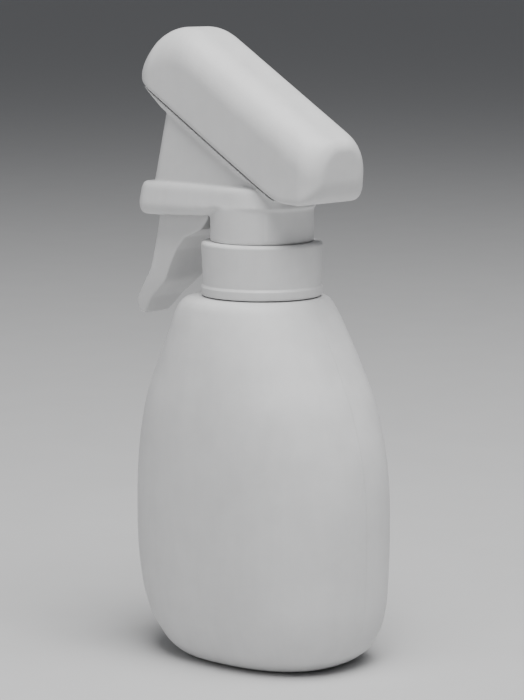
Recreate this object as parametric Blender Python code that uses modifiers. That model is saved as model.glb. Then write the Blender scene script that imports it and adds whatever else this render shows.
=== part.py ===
"""Hand-held trigger spray bottle, modelled as its separate moulded and turned pieces.

Sizes are in millimetres and become metres when a mesh is made.  +Z is up and the spray leaves
towards -Y.  The helpers take points as (x, forward, z), with forward measured from the neck axis.
"""
from math import asin, ceil, cos, hypot, pi, radians, sin, sqrt, tan, tau

import bmesh
import bpy
from mathutils import Matrix, Vector

MM = 0.001
GAP = 0.3                    # clearance between pieces that touch on the real object
NECK_Y = 2.4                 # the neck axis stands this far behind the middle of the footprint

# ---- Bottle: a blown oval shell, round at the neck ----
BODY_STATIONS = (            # height, reach forward, reach back, half width
    (0.0, 26.0, 32.8, 23.0),
    (3.0, 31.8, 37.6, 26.6),
    (8.0, 36.4, 42.0, 29.2),
    (17.0, 41.2, 44.7, 32.0),
    (30.0, 44.2, 45.4, 33.3),
    (48.0, 45.1, 45.6, 33.8),
    (66.0, 44.4, 44.3, 33.7),
    (84.0, 41.3, 40.0, 32.8),
    (100.0, 36.4, 33.4, 30.7),
    (111.0, 32.0, 28.0, 28.4),
    (119.0, 30.0, 23.8, 25.9),
    (122.4, 24.2, 20.4, 21.8),
)
BODY_STEPS = 1               # rings of the shell for each station
BODY_SQUARE = 2.4            # exponent of the oval: 2 is an ellipse, more is squarer
BODY_WALL = 1.2
FOOT_INNER = 0.78            # inner edge of the standing ring, as a share of the foot
PUSH_UP = 2.0                # the base panel inside the ring stands this far off the surface
NECK_R = 16.8
NECK_WALL = 1.4
LIP_Z = 135.9
THREAD_PITCH = 4.23          # six turns to the inch
THREAD_CREST_R = 17.9
THREAD_START_Z = 128.6
THREAD_TURNS = 1.15

# ---- Collar: the screw cap ring that holds the head on the neck ----
COLLAR_BOTTOM_Z = 123.4
COLLAR_TOP_Z = 141.4
COLLAR_TOP_R = 20.5
COLLAR_LOW_R = 19.7
COLLAR_BEAD_R = 20.4
COLLAR_BEAD_Z = 126.2
COLLAR_BORE_R = 18.2
COLLAR_CREST_R = NECK_R + 0.4
COLLAR_PLATE = 1.7
COLLAR_HOLE_R = 13.0

# ---- Head: frame of the sloping cover ----
SLOPE = radians(32.0)
DECK_Z = 167.0               # height of the cover's lower edge over the neck axis
COVER_THICK = 26.0           # lower edge to top, square to the slope
NOSE_P = 55.7                # front of the cover, along the slope from the neck axis
NOSE_TOP_R = 16.5
NOSE_LOW_R = 6.0
COVER_HALF = 15.5
COVER_BACK = -36.0
COVER_FLOOR = 155.4          # underside of the cover behind the neck
COVER_BACK_LOW_R = 8.5
COVER_LEAN = 2.2             # how far the rear wall leans forward at its foot
COVER_BACK_TOP_R = 3.0
COVER_EDGE_X = 11.0           # rounding of the cover's long top edges, across and down
COVER_EDGE_Z = 12.5
COVER_CORNER = 7.5           # rounding of its upright rear corners
COVER_WALL = 1.5
COVER_OPEN = (-22.0, 38.0)   # the cover's underside is open between these

# ---- Head: housing with its turret, rim band, cheeks and deck ----
TURRET_R = 17.4
TURRET_WALL = 1.7
TURRET_BOTTOM_Z = COLLAR_TOP_Z + GAP
BAND_FRONT = 46.6
BAND_HALF = 15.0
BAND_CORNER = 8.0
BAND_REAR_R = 17.9
BAND_LEVELS = (              # height, how far the outline is drawn in
    (148.4, 3.2), (149.0, 1.5), (150.4, 0.4), (152.4, 0.0), (155.6, 0.5), (158.6, 1.0), (159.6, 1.7), (160.0, 3.0),
)
BAND_REAR_Z = 152.7          # underside of the band behind the trigger
CHEEK_HALF = 12.5
CHEEK_CORNER = 5.0
CHEEK_BACK = -13.0
CHEEK_LOW = (157.0, 40.9)    # height and reach of the front wall, low and high
CHEEK_HIGH = (192.0, 32.6)
CHEEK_WALL = 1.6
DECK_HALF = (14.3, 12.2)     # at the cover's edge and where it meets the cheeks
DECK_THICK = 4.2
DECK_BACK = -17.2
SLOT_HALF = 11.0             # slot in the front of the turret, which the trigger's webs swing into

# ---- Trigger ----
PIVOT_F, PIVOT_Z = 27.5, 183.0
PIN_R = 1.5
PIN_HALF = 11.5              # the pin ends in blind holes in the cheeks
TRIGGER_HALF = 10.2
TRIGGER_WEB = 1.7
TRIGGER_OUTLINE = (          # forward, height, corner radius, anticlockwise from the foot of the blade
    (47.4, 113.2, 2.0), (51.4, 113.2, 1.8), (51.0, 117.2, 2.5), (42.0, 128.6, 18.0), (38.4, 144.0, 30.0),
    (32.6, 180.0, 8.0), (31.4, 187.4, 3.4), (23.6, 184.6, 3.2), (24.6, 165.0, 8.0), (17.4, 155.0, 3.0),
    (17.4, 149.0, 3.0), (18.8, 144.4, 1.5), (26.0, 141.5, 2.0), (30.6, 136.6, 4.0), (36.6, 125.6, 14.0),
)
TRIGGER_TIP_Z = 133.0        # below this the blade narrows to a round tip
TRIGGER_TIP = (              # half width and height of the tip, upwards
    (2.6, 113.19), (3.6, 113.5), (5.1, 114.8), (6.3, 117.0), (7.2, 119.8), (8.1, 123.0), (9.1, 126.4), (9.9, 129.8),
)

# ---- Pump: horizontal cylinder in front of a riser, with a sloping outlet barrel ----
PUMP_Z = 162.0
PUMP_R = 7.8
PUMP_BORE_R = 6.2
PUMP_BACK, PUMP_FRONT = 5.5, 24.0
RISER_R = 6.0
RISER_TOP_Z = 184.0
BARREL_Q = 8.4               # height of the outlet barrel above the cover's lower edge
BARREL_R = 5.0
BARREL_START, BARREL_END = 4.0, 51.0
VALVE_SEAT_P = 31.0
NOZZLE_R = 6.8
FLANGE_R = 16.4
FLANGE_Z = (137.3, 139.4)
SKIRT_R = 12.6
SKIRT_WALL = 1.8
SEAT_R = 15.4
SEAT_Z = (146.5, 148.2)

ARC = 6                      # points in a rounded corner
ROUND = 24                   # sides of a small turned piece
RIM = 40                     # sides of the neck, collar and turret

PLASTIC = ((0.74, 0.74, 0.74), 0.45, 0.0)
SOFT = ((0.62, 0.62, 0.62), 0.6, 0.0)
STEEL = ((0.56, 0.57, 0.58), 0.25, 1.0)

FRONT_TO_WORLD = Matrix(((0, 0, -1, 0), (-1, 0, 0, NECK_Y * MM), (0, 1, 0, 0), (0, 0, 0, 1)))


# ---- Helpers ----
def world(x, forward, z):
    """The point in metres, from millimetres measured from the neck axis."""
    return Vector((x, NECK_Y - forward, z)) * MM


def slope_point(p, q):
    """Forward and height of a point p along the cover's slope and q square to it."""
    return p * cos(SLOPE) - q * sin(SLOPE), DECK_Z + p * sin(SLOPE) + q * cos(SLOPE)


def rounded(corners, steps=ARC):
    """A closed outline whose corners, given as (x, y, radius), are turned into arcs."""
    points = []
    for index, (x, y, radius) in enumerate(corners):
        corner = Vector((x, y))
        before = (Vector(corners[index - 1][:2]) - corner).normalized()
        after = (Vector(corners[(index + 1) % len(corners)][:2]) - corner).normalized()
        half = before.angle(after) / 2
        reach = radius / tan(half)
        start, end = corner + before * reach, corner + after * reach
        centre = corner + (before + after).normalized() * (radius / sin(half))
        turn = pi - 2 * half
        count = max(1, ceil(steps * turn / (pi / 2)))
        first, last = start - centre, end - centre
        for step in range(count + 1):
            t = step / count
            mixed = first * sin((1 - t) * turn) + last * sin(t * turn)
            points.append(centre + mixed / sin(turn))
    return points


def circle(x, y, radius, sides=16):
    return [(x + radius * cos(tau * k / sides), y + radius * sin(tau * k / sides)) for k in range(sides)]


def spline(stations, steps):
    """The stations with smooth ones added between them, by Catmull and Rom's rule."""
    rows = []
    for index in range(len(stations) - 1):
        quad = [stations[max(0, min(len(stations) - 1, index + k))] for k in (-1, 0, 1, 2)]
        for step in range(steps):
            t = step / steps
            weights = (
                (-t + 2 * t * t - t ** 3) / 2, (2 - 5 * t * t + 3 * t ** 3) / 2,
                (t + 4 * t * t - 3 * t ** 3) / 2, (-t * t + t ** 3) / 2,
            )
            rows.append(tuple(sum(w * row[i] for w, row in zip(weights, quad)) for i in range(len(quad[0]))))
    rows.append(tuple(stations[-1]))
    return rows


def material(name, look):
    colour, roughness, metallic = look
    made = bpy.data.materials.new(name)
    made.use_nodes = True
    shader = made.node_tree.nodes["Principled BSDF"]
    shader.inputs["Base Color"].default_value = (*colour, 1)
    shader.inputs["Roughness"].default_value = roughness
    shader.inputs["Metallic"].default_value = metallic
    return made


def piece(name, mesh, look=None):
    """A part of the bottle where look is given, and otherwise a hidden cutter or a shape to be joined."""
    obj = bpy.data.objects.new(name, mesh)
    (PARTS if look else CUTTERS).objects.link(obj)
    if look:
        mesh.materials.append(material(name, look))
    else:
        obj.hide_render = True
        obj.display_type = "WIRE"
    return obj


def loft(name, rings, look=None, capped=True):
    """A skin over rings of (x, forward, z) points, closed at both ends where it is capped."""
    work = bmesh.new()
    rows = [[work.verts.new(world(*point)) for point in ring] for ring in rings]
    count = len(rows[0])
    for low, high in zip(rows, rows[1:]):
        for i in range(count):
            j = (i + 1) % count
            work.faces.new((low[i], low[j], high[j], high[i]))
    if capped:
        work.faces.new(rows[0][::-1])
        work.faces.new(rows[-1])
    bmesh.ops.recalc_face_normals(work, faces=work.faces)
    mesh = bpy.data.meshes.new(name)
    work.to_mesh(mesh)
    work.free()
    mesh.shade_smooth()
    mesh.set_sharp_from_angle(angle=radians(35))
    return piece(name, mesh, look)


def side_plate(name, outline, half_width, look=None, middle=0.0):
    """A (forward, height) outline as a plate that reaches half_width to each side of x = middle."""
    curve = bpy.data.curves.new(name, "CURVE")
    curve.dimensions = "2D"
    curve.fill_mode = "BOTH"
    curve.extrude = half_width * MM
    line = curve.splines.new("POLY")
    line.points.add(len(outline) - 1)
    for point, (forward, height) in zip(line.points, outline):
        point.co = (forward * MM, height * MM, 0, 1)
    line.use_cyclic_u = True
    drawn = bpy.data.objects.new(name, curve)
    CUTTERS.objects.link(drawn)
    mesh = bpy.data.meshes.new_from_object(drawn.evaluated_get(bpy.context.evaluated_depsgraph_get()))
    bpy.data.objects.remove(drawn)
    work = bmesh.new()
    work.from_mesh(mesh)
    bmesh.ops.remove_doubles(work, verts=work.verts, dist=1e-6)
    bmesh.ops.transform(work, matrix=Matrix.Translation((middle * MM, 0, 0)) @ FRONT_TO_WORLD, verts=work.verts)
    bmesh.ops.recalc_face_normals(work, faces=work.faces)
    work.to_mesh(mesh)
    work.free()
    return piece(name, mesh, look)


def turned(name, profile, look=None, base=(0, 0), lean=0.0, sides=ROUND, spin=0.0):
    """A profile of (radius, height) points turned about an axis through base = (forward, height).

    It runs from the top down the outer side.  lean tips the axis forward from upright.
    A profile that starts on the axis is solid, and any other one is closed into a ring.
    """
    mesh = bpy.data.meshes.new(name)
    solid = profile[0][0] == 0
    count = len(profile)
    edges = [(i, i + 1) for i in range(count - 1)] + ([] if solid else [(count - 1, 0)])
    points = [(radius * cos(spin) * MM, radius * sin(spin) * MM, height * MM) for radius, height in profile]
    mesh.from_pydata(points, edges, [])
    obj = piece(name, mesh, look)
    obj.location = world(0, *base)
    obj.rotation_euler = (lean, 0, 0)
    screw = obj.modifiers.new("turn", "SCREW")
    screw.steps = screw.render_steps = sides
    screw.use_merge_vertices = True
    screw.merge_threshold = 1e-6
    screw.use_smooth_shade = True
    return obj


def bore(name, profile, base=(0, 0), lean=0.0, sides=ROUND):
    """A turned cutter, spun a little so that none of its edges lies on an edge of what it cuts."""
    return turned(name, profile, None, base, lean, sides, tau / sides / 4)


def rod(name, radius, low, high, look=None, base=(0, 0), lean=0.0, sides=ROUND):
    return turned(name, [(0, high), (radius, high), (radius, low), (0, low)], look, base, lean, sides)


def ring(name, outer, inner, low, high, look=None, base=(0, 0), lean=0.0, sides=ROUND):
    profile = [(outer, high), (outer, low), (inner, low), (inner, high)]
    return turned(name, profile, look, base, lean, sides)


def combine(operation, target, *others):
    """Cuts the others from the target, joins them to it, or keeps what they share, in that order."""
    for other in others:
        step = target.modifiers.new(other.name, "BOOLEAN")
        step.operation = operation
        step.object = other
    return target


def coil(name, radius, wire, turns, start, end, look, base, lean):
    """A compression spring along its axis, with its end turns closed up."""
    curve = bpy.data.curves.new(name, "CURVE")
    curve.dimensions = "3D"
    curve.bevel_depth = wire * MM
    curve.bevel_resolution = 1
    curve.use_fill_caps = True
    count = int(turns * 10)
    low, high = start + wire, end - wire
    closed = 2 * wire + 0.08
    free = (high - low - 2 * closed) / (turns - 2)
    line = curve.splines.new("POLY")
    line.points.add(count)
    for index, point in enumerate(line.points):
        turn = turns * index / count
        rise = min(turn, 1) * closed + max(0, min(turn - 1, turns - 2)) * free + max(0, turn - turns + 1) * closed
        angle = tau * turn
        point.co = (radius * cos(angle) * MM, radius * sin(angle) * MM, (low + rise) * MM, 1)
    curve.materials.append(material(name, look))
    obj = bpy.data.objects.new(name, curve)
    PARTS.objects.link(obj)
    obj.location = world(0, *base)
    obj.rotation_euler = (lean, 0, 0)
    return obj


def thread(name, root, crest, root_width, crest_width, start_z, turns):
    """A screw thread's ridge: a tapered section carried up a right-hand helix, thinned at both ends."""
    steps = int(turns * RIM)
    fade = RIM // 8
    rings = []
    for step in range(steps + 1):
        angle = tau * step / RIM
        z = start_z + THREAD_PITCH * step / RIM
        grow = min(1, (min(step, steps - step) + 0.3) / fade)
        tip = root + (crest - root) * (0.25 + 0.75 * grow)
        section = ((root, -root_width / 2), (tip, -crest_width / 2), (tip, crest_width / 2), (root, root_width / 2))
        rings.append([(r * cos(angle), -r * sin(angle), z + dz) for r, dz in section])
    return loft(name, rings)


# ---- Bottle and collar ----
def oval(z, front, back, half, square):
    """A ring round the neck axis that reaches a different way forward, back and to the sides."""
    points = []
    for step in range(RIM):
        angle = tau * step / RIM
        c, s = cos(angle), sin(angle)
        power = 2 / square
        forward = (front if c > 0 else -back) * abs(c) ** power
        points.append((half * (1 if s > 0 else -1) * abs(s) ** power, forward, z))
    return points


def make_bottle():
    foot = BODY_STATIONS[0]
    rings = [oval(PUSH_UP, *(FOOT_INNER * 0.8 * reach for reach in foot[1:]), BODY_SQUARE)]
    rings.append(oval(0.0, *(FOOT_INNER * reach for reach in foot[1:]), BODY_SQUARE))
    top = BODY_STATIONS[-1][0]
    for z, front, back, half in spline(BODY_STATIONS, BODY_STEPS):
        rise = max(0.0, (z - 84.0) / (top - 84.0))
        rings.append(oval(z, front, back, half, BODY_SQUARE + (2 - BODY_SQUARE) * rise))
    rings += [oval(z, NECK_R, NECK_R, NECK_R, 2) for z in (123.0, LIP_Z)]
    bottle = loft("bottle", rings, PLASTIC, capped=False)
    work = bmesh.new()
    work.from_mesh(bottle.data)
    base = [edge for edge in work.edges if edge.is_boundary and edge.verts[0].co.z < PUSH_UP * 2 * MM]
    bmesh.ops.contextual_create(work, geom=base)
    bmesh.ops.recalc_face_normals(work, faces=work.faces)
    work.to_mesh(bottle.data)
    work.free()
    wall = bottle.modifiers.new("wall", "SOLIDIFY")
    wall.thickness = BODY_WALL * MM
    wall.offset = -1
    ridge = thread("neck_thread", NECK_R - 0.5, THREAD_CREST_R, 2.4, 1.2, THREAD_START_Z, THREAD_TURNS)
    return combine("UNION", bottle, ridge)


def make_collar():
    plate_z = COLLAR_TOP_Z - COLLAR_PLATE
    profile = [
        (COLLAR_TOP_R - 0.8, COLLAR_TOP_Z), (COLLAR_TOP_R, COLLAR_TOP_Z - 0.8),
        (COLLAR_LOW_R, COLLAR_BEAD_Z + 0.8), (COLLAR_BEAD_R, COLLAR_BEAD_Z),
        (COLLAR_BEAD_R, COLLAR_BOTTOM_Z + 1.2), (COLLAR_BEAD_R - 0.9, COLLAR_BOTTOM_Z),
        (COLLAR_BORE_R, COLLAR_BOTTOM_Z), (COLLAR_BORE_R, plate_z), (COLLAR_HOLE_R, plate_z),
        (COLLAR_HOLE_R, COLLAR_TOP_Z),
    ]
    collar = turned("collar", profile, PLASTIC, sides=RIM)
    below = THREAD_START_Z - (2.4 + 1.8) / 2 + 0.3
    ridge = thread("collar_thread", COLLAR_BORE_R + 0.5, COLLAR_CREST_R, 1.8, 0.9, below, 1.0)
    return combine("UNION", collar, ridge)


# ---- Head shells ----
def cover_floor(forward):
    """Underside of the cover: level behind the neck and on the slope in front of it."""
    slope = DECK_Z + forward * tan(SLOPE)
    soft = 2.0
    return (slope + COVER_FLOOR + hypot(slope - COVER_FLOOR, soft)) / 2


def cover_section(forward, inset):
    """Half width, underside, top and edge rounding of the cover, drawn in by inset."""
    top_f, top_z = slope_point(NOSE_P - NOSE_TOP_R, COVER_THICK - NOSE_TOP_R)
    low_f, low_z = slope_point(NOSE_P - NOSE_LOW_R, NOSE_LOW_R)
    nose_r, chin_r = NOSE_TOP_R - inset, NOSE_LOW_R - inset
    if forward < top_f - nose_r * sin(SLOPE):
        top = top_z + (forward - top_f) * tan(SLOPE) + nose_r / cos(SLOPE)
    elif forward < top_f + nose_r * cos(SLOPE):
        top = top_z + sqrt(nose_r ** 2 - (forward - top_f) ** 2)
    else:
        top = low_z + sqrt(max(0, chin_r ** 2 - (forward - low_f) ** 2))
    floor = cover_floor(forward) + inset / cos(SLOPE)
    if forward > low_f + chin_r * sin(SLOPE):
        floor = low_z - sqrt(max(0, chin_r ** 2 - (forward - low_f) ** 2))
    back_f = COVER_BACK + COVER_BACK_LOW_R
    if forward < back_f:
        low_r = COVER_BACK_LOW_R - inset
        floor = COVER_FLOOR + COVER_BACK_LOW_R - sqrt(max(0, low_r ** 2 - (forward - back_f) ** 2))
    back_r = COVER_BACK_TOP_R - inset
    behind = COVER_BACK + COVER_BACK_TOP_R - forward
    if behind > 0:
        top -= back_r - sqrt(max(0, back_r ** 2 - behind ** 2))
    half = COVER_HALF - inset
    for end, reach in ((low_f + NOSE_LOW_R - 8.0, 8.0 - inset), (COVER_BACK + COVER_CORNER, inset - COVER_CORNER)):
        past = (forward - end) / reach
        if past > 0:
            half -= abs(reach) * (1 - sqrt(max(0, 1 - past ** 2)))
    tall = top - floor
    return half, floor, top, min(COVER_EDGE_X - inset, half * 0.8), min(COVER_EDGE_Z - inset, tall * 0.8)


def cover_ring(forward, inset, drop=0.0):
    """One upright section of the cover, from the middle of its underside round both sides."""
    half, floor, top, edge_x, edge_z = cover_section(forward, inset)
    low = min(2.0, (top - floor) / 8)
    floor -= drop
    side = [(half - low, floor)]
    side += [(half - low + low * sin(a), floor + low - low * cos(a)) for a in (pi / 4, pi / 2)]
    for step in range(ARC + 1):
        angle = pi / 2 * step / ARC
        side.append((half - edge_x + edge_x * cos(angle), top - edge_z + edge_z * sin(angle)))
    ring_points = side + [(-x, z) for x, z in reversed(side)]
    lean = COVER_LEAN * max(0.0, min(1.0, (-14.0 - forward) / (-14.0 - COVER_BACK))) ** 2
    crest = COVER_FLOOR + 21.0
    return [(x, forward + lean * max(0.0, min(1.0, (crest - z) / 21.0)), z) for x, z in ring_points]


def cover_stations(inset):
    """Where the sections stand: close together at both rounded ends."""
    low_f = slope_point(NOSE_P - NOSE_LOW_R, NOSE_LOW_R)[0]
    front = low_f + NOSE_LOW_R - inset
    back = COVER_BACK + inset
    ends = [1 - cos(pi / 2 * k / 6) for k in range(1, 6)]
    rows = [back + 0.05] + [back + 9.0 * e for e in ends]
    rows += [-22.0, -17.0, -11.0, -4.0, 4.0, 12.0]
    rows += [front - 30.0 * e for e in reversed(ends)] + [front - 0.35]
    return rows


def make_shroud():
    shroud = loft("shroud", [cover_ring(f, 0.0) for f in cover_stations(0.0)], PLASTIC)
    rings = []
    for forward in cover_stations(COVER_WALL):
        open_here = COVER_OPEN[0] - 0.01 < forward < COVER_OPEN[1]
        rings.append(cover_ring(forward, COVER_WALL, 12.0 if open_here else 0.0))
    hollow = loft("shroud_hollow", rings)
    hole = [(0, 64.0), (NOZZLE_R + 0.4, 64.0), (NOZZLE_R + 0.4, 44.0), (0, 44.0)]
    nozzle_hole = bore("shroud_nozzle_hole", hole, slope_point(0, BARREL_Q), pi / 2 - SLOPE, 32)
    return combine("DIFFERENCE", shroud, hollow, nozzle_hole)


def plan(front, half, back, corner, rear_corner, z):
    """A level outline with rounded corners, as a ring."""
    corners = ((front, -half, corner), (front, half, corner), (back, half, rear_corner), (back, -half, rear_corner))
    return [(x, forward, z) for forward, x in rounded(corners)]


def band_ring(z, inset):
    rear = BAND_REAR_R - inset
    half = BAND_HALF - inset
    corner = BAND_CORNER - inset
    corners = ((BAND_FRONT - inset, -half, corner), (BAND_FRONT - inset, half, corner))
    corners += ((-rear, rear, rear * 0.95), (-rear, -rear, rear * 0.95))
    return [(x, forward, z) for forward, x in rounded(corners, 8)]


def cheek_ring(z, inset, back=CHEEK_BACK):
    share = (z - CHEEK_LOW[0]) / (CHEEK_HIGH[0] - CHEEK_LOW[0])
    front = CHEEK_LOW[1] + (CHEEK_HIGH[1] - CHEEK_LOW[1]) * share
    corner = 1.6 if inset else CHEEK_CORNER
    return plan(front - inset, CHEEK_HALF - inset, back + inset, corner, 2.0, z)


def above_deck_outline():
    """Everything over the sloping deck: its lower line follows the cover's lower edge."""
    stations = [DECK_BACK - 4.0 + 66.0 * k / 14 for k in range(15)]
    lower = [(f, cover_floor(f) - GAP) for f in stations]
    return lower + [(stations[-1], 240.0), (stations[0], 240.0)]


def deck_ring(forward, thick):
    """One upright section of the deck, whose sides lean in to the cheeks below the cover's edge."""
    wide, narrow = DECK_HALF
    edge = cover_floor(forward) - GAP
    side = [(narrow, edge - thick), (wide, edge - 0.4), (wide, edge + 6.0)]
    return [(x, forward, z) for x, z in side] + [(-x, forward, z) for x, z in reversed(side)]


def make_housing():
    housing = loft("housing", [band_ring(z, inset) for z, inset in BAND_LEVELS], PLASTIC)
    relief = ((9.5, 140.0, 0.5), (5.0, BAND_REAR_Z, 4.0), (-30.0, BAND_REAR_Z, 0.5), (-30.0, 140.0, 0.5))
    combine("DIFFERENCE", housing, side_plate("band_relief", rounded(relief), 30.0))

    turret = rod("turret", TURRET_R, TURRET_BOTTOM_Z, 156.0, sides=RIM)
    cheeks = loft("cheeks", [cheek_ring(z, 0.0) for z in (157.0, 174.0, 196.0)])
    stations = [DECK_BACK + (34.9 - DECK_BACK) * k / 10 for k in range(11)]
    deck = loft("deck", [deck_ring(f, DECK_THICK) for f in stations] + [deck_ring(41.0, 0.8)])
    combine("UNION", housing, turret, cheeks, deck)
    above_deck = side_plate("above_deck", above_deck_outline(), 30.0)
    inner = CHEEK_HALF - CHEEK_WALL
    well = loft("cheek_well", [cheek_ring(z, CHEEK_WALL) for z in (140.0, 157.0, 174.0, 200.0)])
    band_well = loft("band_well", [plan(BAND_FRONT - 2.0, BAND_HALF - 2.0, 19.0, 6.0, 1.0, z) for z in (140.0, 157.8)])
    inner_r = TURRET_R - TURRET_WALL
    turret_bore = bore("turret_bore", [(0, 152.2), (inner_r, 152.2), (inner_r, 130.0), (0, 130.0)], sides=RIM)
    combine("DIFFERENCE", housing, above_deck, well, band_well, turret_bore)

    hole = circle(PIVOT_F, PIVOT_Z, PIN_R + 0.2)
    ear = ((PIVOT_F + 4, PIVOT_Z - 6, 1), (PIVOT_F + 4, PIVOT_Z + 3.6, 3.5))
    ear = rounded(ear + ((PIVOT_F - 4, PIVOT_Z + 3.6, 3.5), (PIVOT_F - 4, PIVOT_Z - 10, 1)))
    for side in (-1, 1):
        combine("UNION", housing, side_plate(f"pivot_ear_{side}", ear, 0.7, middle=side * (inner + 0.65)))
    return combine("DIFFERENCE", housing, side_plate("pin_hole", hole, PIN_HALF + GAP))


# ---- Trigger ----
def make_trigger():
    outline = rounded(TRIGGER_OUTLINE)
    trigger = side_plate("trigger", outline, TRIGGER_HALF, PLASTIC)
    # The blade's tip is round seen from the front, so its lower corners are trimmed off.
    for side in (-1, 1):
        shape = [*TRIGGER_TIP, (TRIGGER_HALF + 0.01, TRIGGER_TIP_Z)]
        shape += [(30.0, TRIGGER_TIP_Z), (30.0, 105.0), (TRIGGER_TIP[0][0], 105.0)]
        rings = [[(side * x, forward, z) for x, z in shape] for forward in (10.0, 70.0)]
        combine("DIFFERENCE", trigger, loft(f"tip_trim_{side}", rings))
    # Hollow from the top, leaving a front wall, two webs and a back wall up to the pump cylinder.
    hollow = rounded((
        (37.4, 130.6, 1.0), (38.9, 133.0, 1.5), (36.2, 146.2, 10.0), (34.7, 157.0, 1.0), (31.0, 159.0, 0.5),
        (31.0, 166.0, 1.0), (27.6, 172.0, 2.0), (27.0, 200.0, 0.5), (10.0, 200.0, 0.5), (10.0, 150.8, 0.5),
        (19.2, 150.8, 0.5), (19.2, 149.3, 2.0), (20.4, 145.9, 1.0), (27.0, 143.2, 2.0), (31.9, 138.2, 3.0),
    ), 4)
    inside = side_plate("trigger_hollow", hollow, TRIGGER_HALF - TRIGGER_WEB)
    hole = circle(PIVOT_F, PIVOT_Z, PIN_R + 0.2)
    return combine("DIFFERENCE", trigger, inside, side_plate("trigger_bore", hole, 20.0))


def make_trigger_pin():
    return side_plate("trigger_pin", circle(PIVOT_F, PIVOT_Z, PIN_R), PIN_HALF, STEEL)


# ---- Pump and its fittings ----
def make_pump_body():
    forward_axis = dict(base=(0, PUMP_Z), lean=pi / 2)
    slope_axis = dict(base=slope_point(0, BARREL_Q), lean=pi / 2 - SLOPE)
    skirt_bore, seat_low = SKIRT_R - SKIRT_WALL, SEAT_Z[0] - 0.2
    body = turned("pump_body", [
        (0, RISER_TOP_Z), (RISER_R, RISER_TOP_Z), (RISER_R, SEAT_Z[1]), (SEAT_R, SEAT_Z[1]), (SEAT_R, SEAT_Z[0]),
        (SKIRT_R, SEAT_Z[0]), (SKIRT_R, FLANGE_Z[1]), (FLANGE_R, FLANGE_Z[1]), (FLANGE_R, FLANGE_Z[0]),
        (skirt_bore, FLANGE_Z[0]), (skirt_bore, seat_low), (RISER_R, seat_low), (RISER_R, 144.4), (0, 144.4),
    ], PLASTIC, sides=RIM)
    cylinder = rod("cylinder", PUMP_R, 0.5, PUMP_FRONT, **forward_axis)
    barrel = rod("barrel", BARREL_R, BARREL_START, BARREL_END, **slope_axis)
    combine("UNION", body, cylinder, barrel)
    riser_bore = [(0, 179.5), (2.0, 179.5), (2.0, 152.0), (4.3, 152.0), (4.3, 130.0), (0, 130.0)]
    front = PUMP_FRONT + 5.0
    pump_bore = [(0, front), (PUMP_BORE_R, front), (PUMP_BORE_R, PUMP_BACK), (1.2, PUMP_BACK), (1.2, 0), (0, 0)]
    end = BARREL_END + 5.0
    barrel_bore = [(0, end), (3.7, end), (3.7, VALVE_SEAT_P), (1.8, VALVE_SEAT_P), (1.8, 4.0), (0, 4.0)]
    cuts = [
        side_plate("seat_slot", [(7.6, 146.0), (20.0, 146.0), (20.0, 150.0), (7.6, 150.0)], SLOT_HALF),
        bore("riser_bore", riser_bore),
        bore("pump_bore", pump_bore, **forward_axis),
        bore("barrel_bore", barrel_bore, **slope_axis),
        bore("vent_hole", [(0, 155.0), (0.8, 155.0), (0.8, 140.0), (0, 140.0)], (-8.6, 0), 0.0, 12),
    ]
    return combine("DIFFERENCE", body, *cuts)


def make_inlet_parts():
    turned("inlet_housing", [
        (3.9, 151.6), (3.9, 138.0), (5.6, 138.0), (5.6, 136.4), (2.9, 136.4), (2.9, 144.6), (1.4, 144.6),
        (1.4, 146.4), (2.7, 147.4), (2.7, 151.6),
    ], PLASTIC)
    ball = bpy.data.meshes.new("inlet_ball")
    work = bmesh.new()
    bmesh.ops.create_uvsphere(work, u_segments=16, v_segments=10, radius=2.2 * MM)
    work.to_mesh(ball)
    work.free()
    ball.shade_smooth()
    piece("inlet_ball", ball, STEEL).location = world(0, 0, 148.5)
    ring("dip_tube", 2.6, 1.8, 9.0, 144.2, SOFT, sides=16)
    turned("tube_filter", [
        (4.0, 14.0), (4.0, 5.4), (3.4, 4.8), (1.2, 4.8), (1.2, 6.0), (3.0, 6.0), (3.0, 14.0),
    ], PLASTIC, sides=16)
    turned("vent_valve", [
        (0, 148.9), (0.5, 148.9), (0.5, 145.9), (2.0, 145.9), (2.1, 145.5), (1.2, 144.9), (0, 144.7),
    ], SOFT, base=(-8.6, 0), sides=12)
    ring("neck_gasket", 16.6, 14.4, LIP_Z + GAP, FLANGE_Z[0] - GAP, SOFT, sides=RIM)


def make_piston_parts():
    forward_axis = dict(base=(0, PUMP_Z), lean=pi / 2)
    turned("piston", [
        (0, 30.7), (1.2, 30.5), (2.3, 29.7), (2.9, 28.4), (2.9, 18.6), (5.8, 18.2), (5.8, 17.3), (4.6, 17.3),
        (4.6, 15.0), (5.8, 15.0), (5.8, 14.2), (0, 14.2),
    ], PLASTIC, **forward_axis)
    ring("piston_seal", 6.05, 4.8, 15.2, 17.1, SOFT, **forward_axis)
    ring("cylinder_bushing", 6.0, 3.2, 21.4, 23.7, PLASTIC, **forward_axis)
    coil("return_spring", 4.3, 0.35, 5, PUMP_BACK + GAP, 14.2 - GAP, STEEL, (0, PUMP_Z), pi / 2)


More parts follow.
